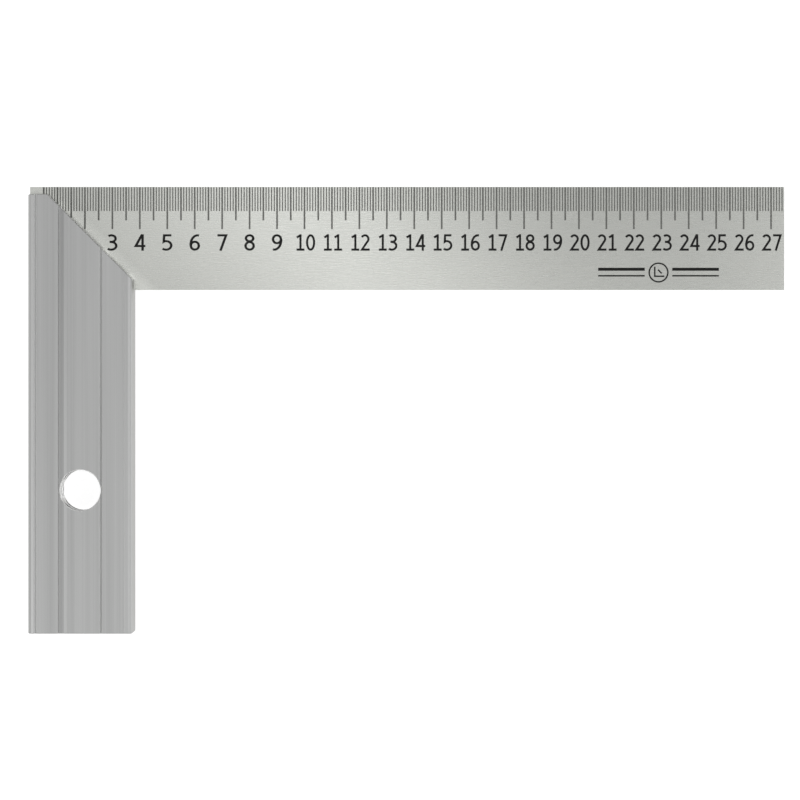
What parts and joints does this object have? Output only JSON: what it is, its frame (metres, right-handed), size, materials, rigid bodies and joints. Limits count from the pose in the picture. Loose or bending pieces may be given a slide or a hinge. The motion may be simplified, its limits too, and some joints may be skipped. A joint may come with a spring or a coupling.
{
  "type": "try square",
  "caption": "Flat steel blade with a centimetre scale, fixed at a right angle in a grooved aluminium stock with a 45 degree mitre and a round hanging hole.",
  "frame": {"origin": "middle of the outline's box, on the stock's back face, which is the surface the square lies on", "axes": "+X along the blade to its free end, +Y from the stock's foot towards the blade's outer edge, +Z out of the face that carries the scale"},
  "size_m": [0.2748, 0.1624, 0.016],
  "materials": {
    "stock_aluminium": "satin",
    "blade_steel": "satin",
    "pin_steel": "satin",
    "scale_black": "satin"
  },
  "bodies": {
    "root": {"stock": "stock_aluminium", "blade": "blade_steel", "blade_pin_1": "pin_steel", "blade_pin_2": "pin_steel", "blade_pin_3": "pin_steel"}
  },
  "joints": []
}
